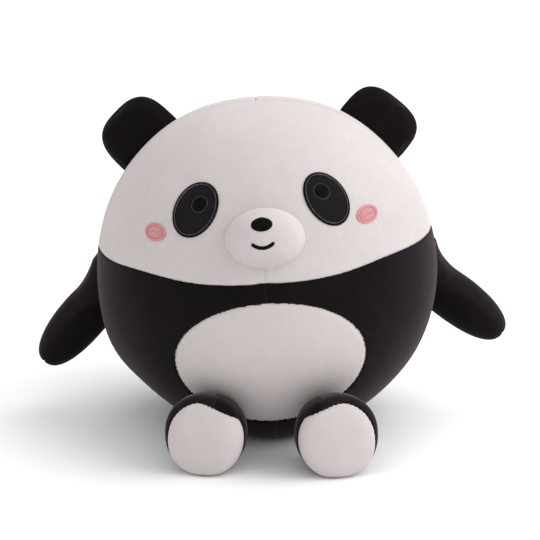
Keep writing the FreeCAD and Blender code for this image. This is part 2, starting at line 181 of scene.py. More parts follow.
# %% [markdown]
# Sewn panels meet along seams that are not flat cuts. A seam is written as a function that is
# zero along the seam line, in metres from it to either side. `cut_along` walks the mesh's edges,
# splits each one that the seam crosses just there, and joins the new points across the faces.
# A seam that crosses an edge within `SNAP` of its length from one end moves that end onto the
# seam, which keeps thin slivers away.

# %% Cutting a mesh along a seam
SNAP = 0.18


def cut_along(bm, seam, where=lambda point: True):
    """Cuts the faces that the seam crosses. Returns the points that lie on the seam."""
    height = {vert: seam(vert.co) for vert in bm.verts}
    crossing = [
        edge
        for edge in bm.edges
        if height[edge.verts[0]] * height[edge.verts[1]] < 0
        and where((edge.verts[0].co + edge.verts[1].co) / 2)
    ]
    for edge in crossing:
        a, b = edge.verts
        if height[a] * height[b] >= 0:
            continue
        part = height[a] / (height[a] - height[b])
        if part < SNAP:
            a.co = a.co.lerp(b.co, part)
            height[a] = 0.0
        elif part > 1 - SNAP:
            b.co = a.co.lerp(b.co, part)
            height[b] = 0.0
    on_seam = {vert for vert in bm.verts if height[vert] == 0.0}
    for edge in crossing:
        a, b = edge.verts
        if height[a] * height[b] < 0:
            part = height[a] / (height[a] - height[b])
            _, vert = bmesh.utils.edge_split(edge, a, part)
            on_seam.add(vert)
    bmesh.ops.connect_verts(bm, verts=list(on_seam))
    return [vert.co.copy() for vert in on_seam]


def into_triangles(bm):
    """Cuts every face with more than three corners into triangles."""
    bmesh.ops.triangulate(bm, faces=[face for face in bm.faces if len(face.verts) > 3])


def refine_near(bm, near):
    """Halves the edges of the faces whose middles are near a seam."""
    faces = [face for face in bm.faces if near(face.calc_center_median())]
    edges = list({edge for face in faces for edge in face.edges})
    bmesh.ops.subdivide_edges(bm, edges=edges, cuts=1, use_grid_fill=True)
    into_triangles(bm)


# %% [markdown]
# Each panel becomes an object of its own. Along a seam the two fabrics turn inwards, so the
# surface dips there: `sink_seams` moves every point near a seam inwards, and the points on the
# seam itself the most. A Solidify modifier then gives the open panel the plush's thickness.

# %% Panels from a cut form
def sink_seams(bm, seam_points, depth, width, inward):
    """Moves the points near a seam along inward(vert), deepest on the seam itself."""
    tree = kdtree.KDTree(len(seam_points))
    for index, point in enumerate(seam_points):
        tree.insert(point, index)
    tree.balance()
    moved = {}
    for vert in bm.verts:
        gap = tree.find(vert.co)[2]
        if gap < width:
            moved[vert] = vert.co + inward(vert) * depth * (1 - gap / width) ** 2
    for vert, spot in moved.items():
        vert.co = spot


def panel_object(name, bm, keep, material, place):
    """The faces whose middles pass keep(), moved by place() and made of plush."""
    part = bm.copy()
    spare = [face for face in part.faces if not keep(face.calc_center_median())]
    bmesh.ops.delete(part, geom=spare, context="FACES")
    for vert in part.verts:
        vert.co = place(vert.co)
    return finished(name, part, material, FABRIC)


def finished(name, bm, material, thick=0.0):
    """Makes the smooth object of a bmesh. A sheet of cloth gets its thickness inwards."""
    mesh = bpy.data.meshes.new(name)
    bm.to_mesh(mesh)
    bm.free()
    mesh.shade_smooth()
    mesh.materials.append(material)
    piece = bpy.data.objects.new(name, mesh)
    bpy.context.scene.collection.objects.link(piece)
    if thick > 0.0:
        wall = piece.modifiers.new("fabric_thickness", "SOLIDIFY")
        wall.thickness = thick
        wall.offset = -1.0
    return piece


# %% [markdown]
# ## Plush, thread and velour
#
# The cloth is a short, dense pile that is brushed smooth. Three things make it read as plush:
# a very rough surface, a sheen that brightens where the pile is seen edge on, and small changes
# of tone where the pile lies in another direction. The tone comes from slow noise, with a
# quicker one for the strokes of a hand, and the fuzz from fine noise in the bump. Everything
# reads Object coordinates, so it stays put on the cloth. The tops of the arms and the outsides
# of the feet get a lit copy of the black, lighter and with more sheen: that is painted light.

# %% Material makers
def new_material(name, roughness, specular):
    """A new material, its shader, and the places on the cloth that its noises read."""
    material = bpy.data.materials.new(name)
    material.use_nodes = True
    shader = material.node_tree.nodes["Principled BSDF"]
    shader.inputs["Roughness"].default_value = roughness
    shader.inputs["Specular IOR Level"].default_value = specular
    place = material.node_tree.nodes.new("ShaderNodeTexCoord").outputs["Object"]
    return material, shader, place


def noise_of(tree, place, scale, detail, roughness=0.5, distortion=0.0):
    """A noise that stays put on the cloth."""
    node = tree.nodes.new("ShaderNodeTexNoise")
    node.inputs["Scale"].default_value = scale
    node.inputs["Detail"].default_value = detail
    node.inputs["Roughness"].default_value = roughness
    node.inputs["Distortion"].default_value = distortion
    tree.links.new(place, node.inputs["Vector"])
    return node.outputs["Fac"]


def mixed(tree, first, second, share):
    """Two noises in one, with the given share of the second."""
    node = tree.nodes.new("ShaderNodeMix")
    node.data_type = "FLOAT"
    node.inputs["Factor"].default_value = share
    tree.links.new(first, node.inputs["A"])
    tree.links.new(second, node.inputs["B"])
    return node.outputs["Result"]


def colour_and_bump(tree, shader, tone, colours, nap, fuzz, strength, depth):
    """Colours the shader from dark to light over the share nap of the tone, and raises fuzz."""
    ramp = tree.nodes.new("ShaderNodeValToRGB")
    for end, colour, side in zip(ramp.color_ramp.elements, colours, (-1, 1)):
        end.position = 0.5 + side * 0.5 * nap
        end.color = (*colour, 1.0)
    tree.links.new(tone, ramp.inputs["Fac"])
    tree.links.new(ramp.outputs["Color"], shader.inputs["Base Color"])
    bump = tree.nodes.new("ShaderNodeBump")
    bump.inputs["Strength"].default_value = strength
    bump.inputs["Distance"].default_value = depth
    tree.links.new(fuzz, bump.inputs["Height"])
    tree.links.new(bump.outputs["Normal"], shader.inputs["Normal"])


def plush(name, colour, dark, sheen, sheen_tint, nap=0.5):
    """A short-pile plush: two tones of one colour, fine fuzz and a sheen."""
    material, shader, place = new_material(name, roughness=0.92, specular=0.03)
    shader.inputs["Sheen Weight"].default_value = sheen
    shader.inputs["Sheen Roughness"].default_value = 0.40
    shader.inputs["Sheen Tint"].default_value = (*sheen_tint, 1.0)
    tree = material.node_tree
    slow = noise_of(tree, place, scale=38.0, detail=4.0, roughness=0.6, distortion=0.4)
    stroked = noise_of(tree, place, scale=190.0, detail=3.0)
    fuzz = noise_of(tree, place, scale=1300.0, detail=3.0)
    tone = mixed(tree, slow, stroked, share=0.42)
    tone = mixed(tree, tone, fuzz, share=0.35)
    colour_and_bump(
        tree, shader, tone, (dark, colour), nap, fuzz, strength=0.35, depth=0.35 * MM
    )
    return material


def thread(name, colour, dark, roughness):
    """Embroidery thread: slightly glossy, with the twist of its plies in the bump."""
    material, shader, place = new_material(name, roughness, specular=0.08)
    tree = material.node_tree
    plies = noise_of(tree, place, scale=2200.0, detail=2.0)
    colour_and_bump(
        tree, shader, plies, (dark, colour), 0.4, plies, strength=0.4, depth=0.1 * MM
    )
    return material


# %% The toy's own cloths and threads
SHEEN_WHITE = (1.0, 0.97, 0.96)
SHEEN_BLACK = (0.80, 0.68, 0.76)
WHITE = plush("white_plush", (0.578, 0.533, 0.524), (0.474, 0.437, 0.428), 0.10, SHEEN_WHITE, 0.55)
BLACK = plush("black_plush", (0.0100, 0.0078, 0.0090), (0.0028, 0.0022, 0.0026), 0.18, SHEEN_BLACK)
# painted light: a lit copy of the black, lighter and with more sheen, for the tops of the arms and
# the outsides of the feet
PAINTED_LIT_BLACK = plush(
    "painted_lit_black_plush", (0.0170, 0.0134, 0.0152), (0.0060, 0.0048, 0.0055), 0.26, SHEEN_BLACK
)
EYE = plush("eye_velour", (0.0150, 0.0135, 0.0155), (0.0060, 0.0054, 0.0062), 0.10, SHEEN_BLACK)
BLACK_THREAD = thread("black_thread", (0.0035, 0.0032, 0.0035), (0.0012, 0.0011, 0.0012), 0.6)
GREY_THREAD = thread("grey_thread", (0.100, 0.097, 0.102), (0.035, 0.033, 0.035), 0.6)
DUSK_THREAD = thread("dusk_thread", (0.075, 0.073, 0.076), (0.010, 0.009, 0.010), 0.6)
PINK_THREAD = thread("pink_thread", (0.62, 0.290, 0.298), (0.50, 0.220, 0.228), 0.7)
ROSE_THREAD = thread("rose_thread", (0.50, 0.195, 0.205), (0.38, 0.140, 0.150), 0.7)
PALE_THREAD = thread("pale_thread", (0.66, 0.440, 0.440), (0.56, 0.360, 0.360), 0.7)
print(len(bpy.data.materials), "materials")

# %% [markdown]
# ## Where the seams run
#
# The waist seam goes round the ball where white meets black. It hangs a few millimetres lower in
# front, and the seam down the middle of the front pulls it up again at one point. Under the
# muzzle a short dart takes the fullness out of the face. The belly patch is an oval let into the
# black, and a round panel closes the underside.

# %% The seams as functions
WAIST_SIDE = 25.6 * MM
WAIST_DIP = 5.8 * MM
WAIST_DIP_WIDTH = 35.0
WAIST_PULL = 0.9 * MM
WAIST_PULL_WIDTH = 3.5
WAIST_SLOPE = 0.006
BELLY = outward_frame(-0.3, -21.25, 0.8)
BELLY_HALF_WIDTH = 68.3 * MM
BELLY_HALF_HEIGHT = 52.3 * MM
BELLY_TAPER = 0.02
BASE_LEVEL = 118.0 * MM
MUZZLE = outward_frame(0, 23.1)
DART_GAP = 8.0 * MM
DART_TOP = MUZZLE.col[2].z * BALL_RADIUS - DART_GAP


def waist_seam(p):
    around = math.degrees(math.atan2(p.x, -p.y))
    dip = math.exp(-((around / WAIST_DIP_WIDTH) ** 4)) if abs(around) < 90 else 0.0
    pulled = math.exp(-((around / WAIST_PULL_WIDTH) ** 2))
    return p.z - WAIST_SIDE + WAIST_SLOPE * p.x + WAIST_DIP * dip - WAIST_PULL * pulled


def belly_seam(p):
    if p.y > 0:
        return BELLY_HALF_HEIGHT
    x, y = p.dot(BELLY.col[0]), p.dot(BELLY.col[1])
    half_width = BELLY_HALF_WIDTH * (1 - BELLY_TAPER * y / BELLY_HALF_HEIGHT)
    return (math.hypot(x / half_width, y / BELLY_HALF_HEIGHT) - 1) * BELLY_HALF_HEIGHT


def side_seam(p):
    return p.y


def middle_seam(p):
    return p.x


def base_seam(p):
    return p.z + BASE_LEVEL


def has_middle_seam(p):
    """The middle seam runs down the back, under the front, and as a dart under the muzzle."""
    behind = p.y > 0
    in_dart = 0 < waist_seam(p) and p.z < DART_TOP
    in_front = waist_seam(p) < 0 and belly_seam(p) > 0
    return base_seam(p) > 0 and (behind or in_dart or in_front)


SEAM_BAND = 3.6 * MM
SEAM_WIDTH = 2.6 * MM
SEAM_DEPTH = 0.9 * MM


def near_seam(p):
    close = min(abs(waist_seam(p)), abs(belly_seam(p)), abs(base_seam(p))) < SEAM_BAND
    inside_belly = belly_seam(p) < 0
    return close or (not inside_belly and abs(side_seam(p)) < SEAM_BAND) or (
        has_middle_seam(p) and abs(middle_seam(p)) < SEAM_BAND
    )


# %% [markdown]
# The ball starts as an icosphere, because its small triangles are all of one size and it has no
# poles. Only near the seams are they made finer.

# %% Cut the ball and split it into panels
ball = bmesh.new()
bmesh.ops.create_icosphere(ball, subdivisions=7, radius=BALL_RADIUS)
refine_near(ball, near_seam)
for vert in ball.verts:
    vert.co = vert.co.normalized() * BALL_RADIUS
seams = cut_along(ball, waist_seam)
seams += cut_along(ball, belly_seam, lambda p: p.y < 0)
seams += cut_along(ball, base_seam)
seams += cut_along(ball, side_seam, lambda p: base_seam(p) > 0)
middle = cut_along(ball, middle_seam, has_middle_seam)
into_triangles(ball)
print("ball", len(ball.faces), "faces,", len(seams) + len(middle), "points on seams")


sink_seams(ball, seams + middle, SEAM_DEPTH, SEAM_WIDTH, lambda vert: -vert.co.normalized())


def ball_place(p):
    """From the cut sphere to the ball's real form, keeping the depth of the seams."""
    return ball_point(p, p.length - BALL_RADIUS)


PANELS = {
    "head_front": (WHITE, lambda p: waist_seam(p) > 0 and p.y < 0),
    "head_back_left": (WHITE, lambda p: waist_seam(p) > 0 and p.y > 0 and p.x < 0),
    "head_back_right": (WHITE, lambda p: waist_seam(p) > 0 and p.y > 0 and p.x > 0),
    "belly_patch": (WHITE, lambda p: belly_seam(p) < 0),
    "base_panel": (BLACK, lambda p: base_seam(p) < 0),
    "body_front_left": (BLACK, lambda p: in_body(p) and p.y < 0 and p.x < 0),
    "body_front_right": (BLACK, lambda p: in_body(p) and p.y < 0 and p.x > 0),
    "body_back_left": (BLACK, lambda p: in_body(p) and p.y > 0 and p.x < 0),
    "body_back_right": (BLACK, lambda p: in_body(p) and p.y > 0 and p.x > 0),
}


def in_body(p):
    return waist_seam(p) < 0 and belly_seam(p) > 0 and base_seam(p) > 0


for name, (material, keep) in PANELS.items():
    panel = panel_object(name + "_cloth", ball, keep, material, ball_place)
    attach(panel, "ball")
    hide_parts(name)
    if name == "head_front":
        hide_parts("core_stuffing")
ball.free()

# %% [markdown]
# ## Muzzle
#
# The muzzle is a small stuffed dome, steep at its edge where it is sewn down and round in front.
# `muzzle_point` gives its surface in the muzzle's own axes, so that nose and mouth can lie on it.
# The dome goes on a little behind its base, into the ball, down to `MUZZLE_CUT` of its depth.

# %% The muzzle
MUZZLE_HALF_WIDTH = 28.6 * MM
MUZZLE_HALF_HEIGHT = 21.8 * MM
MUZZLE_DEPTH = 26.0 * MM
MUZZLE_SINK = 4.0 * MM
MUZZLE_ASIDE = 2.0 * MM
MUZZLE_CUT = -0.12
MUZZLE_ROOT = MUZZLE.col[2] * (BALL_RADIUS - MUZZLE_SINK) + MUZZLE.col[0] * MUZZLE_ASIDE
MUZZLE_PLACE = BALL @ Matrix.Translation(MUZZLE_ROOT) @ MUZZLE.to_4x4()


def muzzle_point(u, v, lift=0.0):
    """The muzzle's surface above a point of its base, raised by lift along its normal."""
    a, b = u / MUZZLE_HALF_WIDTH, v / MUZZLE_HALF_HEIGHT
    rise = math.sqrt(max(0.0, 1 - a * a - b * b))
    spot = Vector((u, v, rise * MUZZLE_DEPTH))
    normal = Vector((a / MUZZLE_HALF_WIDTH, b / MUZZLE_HALF_HEIGHT, rise / MUZZLE_DEPTH))
    return MUZZLE_PLACE @ (spot + normal.normalized() * lift)


dome = bmesh.new()
bmesh.ops.create_icosphere(dome, subdivisions=6, radius=1.0)
hidden = [face for face in dome.faces if face.calc_center_median().z < MUZZLE_CUT]
bmesh.ops.delete(dome, geom=hidden, context="FACES")
bmesh.ops.scale(dome, vec=(MUZZLE_HALF_WIDTH, MUZZLE_HALF_HEIGHT, MUZZLE_DEPTH), verts=dome.verts)
bmesh.ops.transform(dome, matrix=MUZZLE_PLACE, verts=dome.verts)
muzzle = finished("muzzle_cloth", dome, WHITE, FABRIC)
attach(muzzle, "ball")
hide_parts("muzzle_skin", "muzzle_stuffing")

# %% [markdown]
# ## Embroidery
#
# Every sewn mark on the face is real thread here: a row of short runs of a thin tube, laid side
# by side. A curve with a round bevel makes such tubes, and becomes a mesh at once.

# %% Threads from runs of points
RUN_STEP = 1.2 * MM
SATIN_SINK = 0.1 * MM
SATIN_DROOP = 0.6


def sew(name, runs, radius, material):
    """One object of many threads, each along its own run of points."""
    curve = bpy.data.curves.new(name, "CURVE")
    curve.dimensions = "3D"
    curve.bevel_depth = radius
    curve.bevel_resolution = 1
    curve.use_fill_caps = True
    for run in runs:
        line = curve.splines.new("POLY")
        line.points.add(len(run) - 1)
        for point, spot in zip(line.points, run):
            point.co = (*spot, 1.0)
    loose = bpy.data.objects.new(name + "_line", curve)
    mesh = bpy.data.meshes.new_from_object(loose)
    bpy.data.objects.remove(loose)
    bpy.data.curves.remove(curve)
    mesh.name = name
    mesh.shade_smooth()
    mesh.materials.clear()
    mesh.materials.append(material)
    piece = bpy.data.objects.new(name, mesh)
    bpy.context.scene.collection.objects.link(piece)
    return piece


def face_mark(piece, node=None):
    """A mark on the face rides on the ball, and stands for its node, if it has one."""
    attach(piece, "ball")
    if node:
        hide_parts(node)


def satin_oval(surface, half_width, half_height, pitch, crown, middle_u, middle_v):
    """Runs of thread from side to side of an oval, one above the other."""
    runs = []
    rows = int(2 * half_height / pitch)
    for row in range(rows + 1):
        v = -half_height + 2 * half_height * (row + 0.5) / (rows + 1)
        reach = half_width * math.sqrt(max(0.0, 1 - (v / half_height) ** 2))
        steps = max(4, int(2 * reach / RUN_STEP))
        run = []
        row_crown = crown * (1 - SATIN_DROOP * (v / half_height) ** 2)
        for step in range(steps + 1):
            t = -1 + 2 * step / steps
            rise = row_crown * (1 - t ** 4) - SATIN_SINK
            run.append(surface(middle_u + t * reach, middle_v + v, rise))
        runs.append(run)
    return runs


# %% Nose and smile
NOSE_RISE = 6.4 * MM
NOSE_ASIDE = -1.2 * MM
NOSE_HALF_WIDTH = 7.5 * MM
NOSE_HALF_HEIGHT = 5.2 * MM
NOSE_CROWN = 0.9 * MM
STITCH = 0.42 * MM
THREAD_RADIUS = 0.27 * MM
nose_runs = satin_oval(
    muzzle_point, NOSE_HALF_WIDTH, NOSE_HALF_HEIGHT, STITCH, NOSE_CROWN, NOSE_ASIDE, NOSE_RISE
)
face_mark(sew("nose_thread", nose_runs, THREAD_RADIUS, BLACK_THREAD), "nose_embroidery")

MOUTH_RADIUS = 10.8 * MM
MOUTH_LOW = -10.0 * MM
MOUTH_ASIDE = -1.2 * MM
MOUTH_HALF_LINE = 1.1 * MM
MOUTH_HALF_ANGLE = 45.5
MOUTH_CROWN = 0.45 * MM
MOUTH_SINK = 0.05 * MM
mouth_runs = []
mouth_steps = int(2 * math.radians(MOUTH_HALF_ANGLE) * MOUTH_RADIUS / STITCH)
for step in range(mouth_steps + 1):
    t = -1 + 2 * step / mouth_steps
    angle = math.radians(-90 + t * MOUTH_HALF_ANGLE)
    round_end = math.sqrt(max(0.08, 1 - max(0.0, (abs(t) - 0.9) / 0.1) ** 2))
    run = []
    for part in (-1.0, -0.5, 0.0, 0.5, 1.0):
        r = MOUTH_RADIUS + part * MOUTH_HALF_LINE * round_end
        rise = MOUTH_CROWN * (1 - part ** 4) - MOUTH_SINK
        spot = (MOUTH_ASIDE + r * math.cos(angle), MOUTH_LOW + MOUTH_RADIUS + r * math.sin(angle))
        run.append(muzzle_point(*spot, rise))
    mouth_runs.append(run)
face_mark(sew("mouth_thread", mouth_runs, THREAD_RADIUS, BLACK_THREAD), "mouth_embroidery")
print("nose", len(nose_runs), "runs, mouth", len(mouth_runs), "runs")

# %% [markdown]
# ## Eyes and cheeks
#
# Each eye is an oval of black velour. Satin stitches cover its edge, a single grey run of thread
# follows inside them, and the pupil is one thread sewn round and round, with a fine ring about
# it. A cheek is sewn in the same way in pink, with a darker oval line and two pale loops on it.
# The marks are placed by the ball's own form, so they lie on it everywhere.

# %% Marks on the ball
VELOUR = 0.5 * MM
VELOUR_TUCK = 0.3 * MM
BORDER_LIFT = 0.1 * MM
WANDER = 0.20 * MM
RIPPLE = 0.05 * MM
TURN_STEPS = 36


def on_ball(axes):
    """A surface function for marks that are sewn on the ball round one place."""
    out = axes.col[2] * BALL_RADIUS

    def surface(u, v, lift):
        return ball_point(out + axes.col[0] * u + axes.col[1] * v, lift)

    return surface


def oval_patch(name, surface, half_width, half_height, height, material):
    """A thin domed oval whose edge goes down into the plush."""
    bm = bmesh.new()
    bmesh.ops.create_circle(bm, cap_ends=True, segments=96, radius=1.0)
    bmesh.ops.poke(bm, faces=bm.faces[:])
    bmesh.ops.subdivide_edges(
        bm, edges=[e for e in bm.edges if not e.is_boundary], cuts=10, use_grid_fill=True
    )
    bmesh.ops.triangulate(bm, faces=[face for face in bm.faces if len(face.verts) > 4])
    for vert in bm.verts:
        x, y = vert.co.x, vert.co.y
        edge = min(1.0, math.hypot(x, y)) ** 14
        lift = height * (1 - edge) - VELOUR_TUCK * edge
        vert.co = surface(x * half_width, y * half_height, lift)
    return finished(name, bm, material, VELOUR)


def ring_runs(surface, half_width, half_height, width, pitch, crown):
    """Short satin stitches across a ring, all the way round it, each a little in or out."""
    count = int(math.pi * (half_width + half_height) / pitch)
    runs = []
    for step in range(count):
        a = 2 * math.pi * step / count
        wander = WANDER * math.sin(step * 2.39)
        run = []
        for part in (0.0, 0.25, 0.5, 0.75, 1.0):
            inwards = part * width + wander
            rise = crown * (1 - (2 * part - 1) ** 4) + BORDER_LIFT
            u = (half_width - inwards) * math.cos(a)
            v = (half_height - inwards) * math.sin(a)
            run.append(surface(u, v, rise))
        runs.append(run)
    return runs


def spiral_run(surface, half_width, half_height, pitch, height):
    """One spiral of thread from the edge of an oval to its middle, with a slight ripple."""
    steps = int(half_width / pitch) * TURN_STEPS
    run = []
    for step in range(steps + 1):
        t = 1 - step / steps
        a = 2 * math.pi * step / TURN_STEPS
        ripple = RIPPLE * math.sin(step * 1.7)
        u, v = half_width * t * math.cos(a), half_height * t * math.sin(a)
        run.append(surface(u, v, height + ripple))
    return run


def loop_run(surface, half_width, half_height, height, middle_u=0.0, steps=48):
    """One closed run round an oval."""
    run = []
    for step in range(steps + 1):
        a = 2 * math.pi * step / steps
        run.append(surface(middle_u + half_width * math.cos(a), half_height * math.sin(a), height))
    return run


# %% Sizes of the marks
EYE_BORDER = 1.15 * MM
EYE_BORDER_STITCH = 0.78 * MM
EYE_BORDER_CROWN = 0.7 * MM
EYE_BORDER_THREAD = 0.42 * MM
EYE_PATCH_MARGIN = 1.0 * MM
EYE_PATCH_HEIGHT = 0.8 * MM
EYE_LINE_INSIDE = EYE_BORDER + 0.6 * MM
EYE_LINE_HEIGHT = 0.95 * MM
EYE_LINE_THREAD = 0.31 * MM
PUPIL_RADIUS = 4.7 * MM
PUPIL_PITCH = 0.84 * MM
PUPIL_HEIGHT = 1.05 * MM
PUPIL_THREAD = 0.46 * MM
PUPIL_RING_RADIUS = PUPIL_RADIUS + 1.4 * MM
PUPIL_RING_HEIGHT = 1.0 * MM
PUPIL_RING_THREAD = 0.32 * MM
BLUSH_HALF_WIDTH = 10.3 * MM
BLUSH_HALF_HEIGHT = 6.2 * MM
BLUSH_PITCH = 0.62 * MM
BLUSH_HEIGHT = 0.45 * MM
BLUSH_THREAD = 0.42 * MM
BLUSH_LINE_SHARE = 0.74
BLUSH_LINE_HEIGHT = 0.80 * MM
BLUSH_LINE_THREAD = 0.26 * MM
BLUSH_LOOP_HALF_WIDTH = 1.3 * MM
BLUSH_LOOP_HALF_HEIGHT = 2.2 * MM
BLUSH_LOOP_ASIDE = 2.2 * MM
BLUSH_LOOP_HEIGHT = 0.95 * MM
BLUSH_LOOP_THREAD = 0.30 * MM

# %% Sew both eyes and both cheeks
# for each eye, pupil and cheek: azimuth and elevation, and the oval's turn, in degrees
FACE = {
    "left": {
        "eye": (-25.4, 33.0, -12.6), "wide": 17.4 * MM, "tall": 21.3 * MM,
        "pupil": (-23.6, 34.5), "cheek": (-40.4, 24.4, -9.0),
    },
    "right": {
        "eye": (26.3, 33.6, 9.4), "wide": 16.5 * MM, "tall": 21.3 * MM,
        "pupil": (24.9, 36.0), "cheek": (40.4, 25.6, 9.0),
    },
}

for hand, marks in FACE.items():
    eye = on_ball(outward_frame(*marks["eye"]))
    wide, tall = marks["wide"], marks["tall"]
    margin, inside = EYE_PATCH_MARGIN, EYE_LINE_INSIDE
    patch = oval_patch(
        f"eye_velour_{hand}", eye, wide - margin, tall - margin, EYE_PATCH_HEIGHT, EYE
    )
    face_mark(patch, f"eye_patch_{hand}")
    satin = ring_runs(eye, wide, tall, EYE_BORDER, EYE_BORDER_STITCH, EYE_BORDER_CROWN)
    border = sew(f"eye_satin_{hand}", satin, EYE_BORDER_THREAD, BLACK_THREAD)
    face_mark(border, f"eye_border_{hand}")
    line = loop_run(eye, wide - inside, tall - inside, EYE_LINE_HEIGHT, steps=120)
    face_mark(sew(f"eye_line_{hand}", [line], EYE_LINE_THREAD, GREY_THREAD))

    pupil = on_ball(outward_frame(*marks["pupil"]))
    spiral = spiral_run(pupil, PUPIL_RADIUS, PUPIL_RADIUS, PUPIL_PITCH, PUPIL_HEIGHT)
    middle_mark = sew(f"pupil_thread_{hand}", [spiral], PUPIL_THREAD, BLACK_THREAD)
    face_mark(middle_mark, f"pupil_{hand}")
    ring = loop_run(pupil, PUPIL_RING_RADIUS, PUPIL_RING_RADIUS, PUPIL_RING_HEIGHT)
    ring_mark = sew(f"pupil_ring_{hand}", [ring], PUPIL_RING_THREAD, DUSK_THREAD)
    face_mark(ring_mark)

    cheek = on_ball(outward_frame(*marks["cheek"]))
    spiral = spiral_run(cheek, BLUSH_HALF_WIDTH, BLUSH_HALF_HEIGHT, BLUSH_PITCH, BLUSH_HEIGHT)
    blush = sew(f"blush_thread_{hand}", [spiral], BLUSH_THREAD, PINK_THREAD)
    face_mark(blush, f"blush_{hand}")
    loops = [
        loop_run(
            cheek, BLUSH_LOOP_HALF_WIDTH, BLUSH_LOOP_HALF_HEIGHT, BLUSH_LOOP_HEIGHT,
            middle_u=shift * BLUSH_LOOP_ASIDE, steps=24,
        )
        for shift in (-1, 1)
    ]
    pale_loops = sew(f"blush_loops_{hand}", loops, BLUSH_LOOP_THREAD, PALE_THREAD)
    face_mark(pale_loops)
    oval = loop_run(
        cheek, BLUSH_HALF_WIDTH * BLUSH_LINE_SHARE, BLUSH_HALF_HEIGHT * BLUSH_LINE_SHARE,
        BLUSH_LINE_HEIGHT,
    )
    oval_line = sew(f"blush_round_{hand}", [oval], BLUSH_LINE_THREAD, ROSE_THREAD)
    face_mark(oval_line)

# %% [markdown]
# ## Ears, arms and feet
#
# These are flat cloth forms that only get their shape from what is pushed into them. So each one
# is blown up by Blender's Cloth simulation, while the cloth along its seam draws in a little, as
# a sewn seam does. The solver likes large cloth better than small, so the form is simulated at
# ten times its size. Each point's move is then limited to a cap, and averaged with those of its
# neighbours a few times, so that the swelling stays and small ripples go.

# %% Stuffing a form by cloth simulation
SIM_SCALE = 10.0
DRAWN_WIDTH = 2.5 * MM
EASING = 8


def stuff(name, bm, pressure, steps, cap, seam, draw):
    """Blows a closed form up, while the cloth near its seam draws in by the share draw.
    """
    mesh = bpy.data.meshes.new(name)
    bm.verts.index_update()
    start = [vert.co.copy() for vert in bm.verts]
    bmesh.ops.scale(bm, vec=(SIM_SCALE, SIM_SCALE, SIM_SCALE), verts=bm.verts)
    bm.to_mesh(mesh)
    piece = bpy.data.objects.new(name, mesh)
    bpy.context.scene.collection.objects.link(piece)
    drawn = piece.vertex_groups.new(name="drawn_in")
    for index, spot in enumerate(start):
        gap = abs(seam(spot))
        if gap < DRAWN_WIDTH:
            drawn.add([index], 1 - gap / DRAWN_WIDTH, "REPLACE")
    cloth = piece.modifiers.new("Cloth", "CLOTH")
    settings = cloth.settings
    settings.quality = 6
    settings.mass = 0.2
    settings.tension_stiffness = 20.0
    settings.compression_stiffness = 12.0
    settings.shear_stiffness = 6.0
    settings.bending_stiffness = 0.4
    settings.air_damping = 3.0
    settings.use_pressure = True
    settings.uniform_pressure_force = pressure
    settings.effector_weights.gravity = 0.0
    settings.vertex_group_shrink = "drawn_in"
    settings.shrink_min = 0.0
    settings.shrink_max = draw
    cloth.point_cache.frame_start = 1
    cloth.point_cache.frame_end = steps
    scene = bpy.context.scene
    for step in range(1, steps + 1):
        scene.frame_set(step)
    blown = piece.evaluated_get(bpy.context.evaluated_depsgraph_get()).to_mesh()
    moves = [new.co / SIM_SCALE - old for old, new in zip(start, blown.vertices)]
    furthest = max(move.length for move in moves)
    moves = [move * min(1.0, cap / max(move.length, 1e-9)) for move in moves]
    near = [
        [vert.index] + [edge.other_vert(vert).index for edge in vert.link_edges]
        for vert in bm.verts
    ]
    for _ in range(EASING):
        moves = [sum((moves[i] for i in ring), Vector()) / len(ring) for ring in near]
    for vert, old, move in zip(bm.verts, start, moves):
        vert.co = old + move
    bpy.data.objects.remove(piece)
    bpy.data.meshes.remove(mesh)
    scene.frame_set(1)
    print(name, "stuffed, furthest move", round(furthest / MM, 2), "mm")


# %% From a stuffed form to its panels
GROOVE_WIDTH = 1.8 * MM
GROOVE_DEPTH = 0.8 * MM
SOLE_GROOVE_DEPTH = 0.9 * MM
ROOT_DEPTH = 5.0 * MM
PRESSED_ROUNDING = 1.2 * MM
BEND_REACH = 9.0 * MM


def clip_to_ball(bm, place):
    """Leaves out what lies deeper than ROOT_DEPTH under the ball's surface."""

    def under(face):
        spot = place @ face.calc_center_median()
        return (spot - BALL_MIDDLE).length < BALL_RADIUS - ROOT_DEPTH

    bmesh.ops.delete(bm, geom=[face for face in bm.faces if under(face)], context="FACES")


def on_floor(spot):
    """Presses what would reach under the floor flat against it."""
    return Vector((spot.x, spot.y, 0.5 * (spot.z + math.hypot(spot.z, PRESSED_ROUNDING))))


def limb_panels(bm, place, seams, panels, depth):
    """Cuts a form along its seams, sinks them, and makes a piece of every panel."""
    refine_near(bm, lambda p: min(abs(seam(p)) for seam, _ in seams) < GROOVE_WIDTH)
    on_seams = []
    for seam, where in seams:
        on_seams += cut_along(bm, seam, where)
    into_triangles(bm)
    bm.normal_update()
    sink_seams(bm, on_seams, depth, GROOVE_WIDTH, lambda vert: -vert.normal)
    clip_to_ball(bm, place)
    made = {}
    for name, (material, keep) in panels.items():
        made[name] = panel_object(name, bm, keep, material, lambda p: on_floor(place @ p))
    bm.free()
    return made


def everywhere(p):
    return True


def bends(piece, limb, start, end, *nodes):
    """Hides the nodes that the piece stands for and bakes its place into its mesh. limb, start and
    end are not used.
    """
    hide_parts(*nodes)
    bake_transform(piece)


def power_radius(a, b, power):
    """How far out a superellipse of that power lies in a direction with shares a and b."""
    return (abs(a) ** power + abs(b) ** power) ** (-1 / power)


# %% [markdown]
# An ear is two round flaps of plush, sewn together round the rim and stuffed, and sewn to the
# ball along a straight base. Its outline is nearly a D: straight sides out of the head, and a
# broad round end. The side towards the middle of the head spreads a little at its root.

